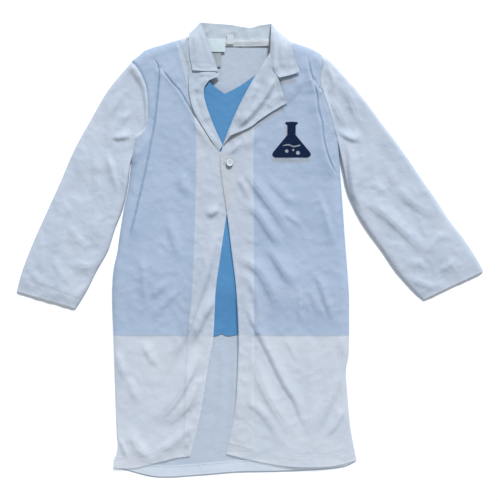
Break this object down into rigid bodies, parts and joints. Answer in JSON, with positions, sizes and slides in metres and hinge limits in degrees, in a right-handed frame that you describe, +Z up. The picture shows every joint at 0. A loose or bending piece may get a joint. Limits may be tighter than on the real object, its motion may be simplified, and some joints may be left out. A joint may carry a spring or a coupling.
{
  "type": "lab coat",
  "caption": "Child's white dress-up lab coat with notched collar, long sleeves, a button and a sewn-in blue shirt front, laid flat.",
  "frame": {"origin": "under the middle of the coat's outline, on the surface that it lies on", "axes": "+Z up out of the front, +Y towards the collar, +X towards the wearer's left sleeve"},
  "size_m": [0.792, 0.7721, 0.0166],
  "materials": {
    "white_cloth": "thin, slightly sheer white polyester plain weave, matte",
    "blue_knit": "thin sky-blue polyester, matte",
    "label_satin": "white woven satin",
    "sewing_thread": "white polyester sewing thread",
    "button_plastic": "white four-hole shirt button, satin gloss",
    "navy_print": "navy heat-transfer film"
  },
  "bodies": {
    "torso": {"back_panel": "white_cloth", "back_hem": "white_cloth", "side_seam_right": "white_cloth", "side_seam_left": "white_cloth", "shirt_insert": "blue_knit", "insert_hem": "blue_knit", "insert_neck_facing": "blue_knit", "front_left": "white_cloth", "facing_left": "white_cloth", "front_right": "white_cloth", "facing_right": "white_cloth", "collar_side_left": "white_cloth", "collar_side_right": "white_cloth", "collar_back_outer": "white_cloth", "collar_back_inner": "white_cloth", "neck_tape": "label_satin", "brand_label": "label_satin", "care_label": "label_satin", "size_tab": "label_satin", "button_thread": "sewing_thread", "chest_emblem": "navy_print"},
    "front_flap_left": {"front_skirt_left": "white_cloth", "facing_skirt_left": "white_cloth", "front_hem_left": "white_cloth", "buttonhole_stitch": "sewing_thread"},
    "front_flap_right": {"front_skirt_right": "white_cloth", "facing_skirt_right": "white_cloth", "front_hem_right": "white_cloth"},
    "lapel_left_fold": {"lapel_left": "white_cloth", "lapel_left_facing": "white_cloth", "collar_leaf_left": "white_cloth", "collar_leaf_left_under": "white_cloth"},
    "lapel_right_fold": {"lapel_right": "white_cloth", "lapel_right_facing": "white_cloth"},
    "collar_right_fold": {"collar_leaf_right": "white_cloth", "collar_leaf_right_under": "white_cloth"},
    "sleeve_left": {"sleeve_left_front": "white_cloth", "sleeve_left_back": "white_cloth", "sleeve_left_fold": "white_cloth", "sleeve_left_seam": "white_cloth", "sleeve_hem_left": "white_cloth"},
    "sleeve_right": {"sleeve_right_front": "white_cloth", "sleeve_right_back": "white_cloth", "sleeve_right_fold": "white_cloth", "sleeve_right_seam": "white_cloth", "sleeve_hem_right": "white_cloth"},
    "button": {"button": "button_plastic"}
  },
  "joints": [
    {"name": "front_left_open", "type": "hinge", "parent": "torso", "child": "front_flap_left", "pos_m": [-0.04, 0.193, 0.0135], "axis": [-0.3728, 0.9279, 0], "range_deg": [0, 172]},
    {"name": "front_right_open", "type": "hinge", "parent": "torso", "child": "front_flap_right", "pos_m": [-0.04, 0.058, 0.0113], "axis": [-0.4093, -0.9124, 0], "range_deg": [0, 172]},
    {"name": "lapel_left_turn", "type": "hinge", "parent": "torso", "child": "lapel_left_fold", "pos_m": [-0.037, 0.198, 0.01335], "axis": [-0.4655, -0.8851, 0], "range_deg": [0, 150]},
    {"name": "lapel_right_turn", "type": "hinge", "parent": "torso", "child": "lapel_right_fold", "pos_m": [-0.057, 0.185, 0.0113], "axis": [0.3379, -0.9412, 0], "range_deg": [0, 165]},
    {"name": "collar_right_turn", "type": "hinge", "parent": "torso", "child": "collar_right_fold", "pos_m": [-0.096, 0.304, 0.012], "axis": [-0.1575, -0.9875, 0], "range_deg": [0, 165]},
    {"name": "sleeve_left_swing", "type": "hinge", "parent": "torso", "child": "sleeve_left", "pos_m": [0.1355, 0.261, 0.0052], "axis": [0, 0, 1], "range_deg": [0, 35]},
    {"name": "sleeve_right_swing", "type": "hinge", "parent": "torso", "child": "sleeve_right", "pos_m": [-0.2015, 0.256, 0.0052], "axis": [0, 0, -1], "range_deg": [0, 35]},
    {"name": "button_tilt", "type": "hinge", "parent": "torso", "child": "button", "pos_m": [-0.034, 0.147, 0.0139], "axis": [0, 1, 0], "range_deg": [-12, 12]}
  ],
  "couplings": [
    {"joint": "collar_right_turn", "follows": "lapel_right_turn", "ratio": 1}
  ]
}
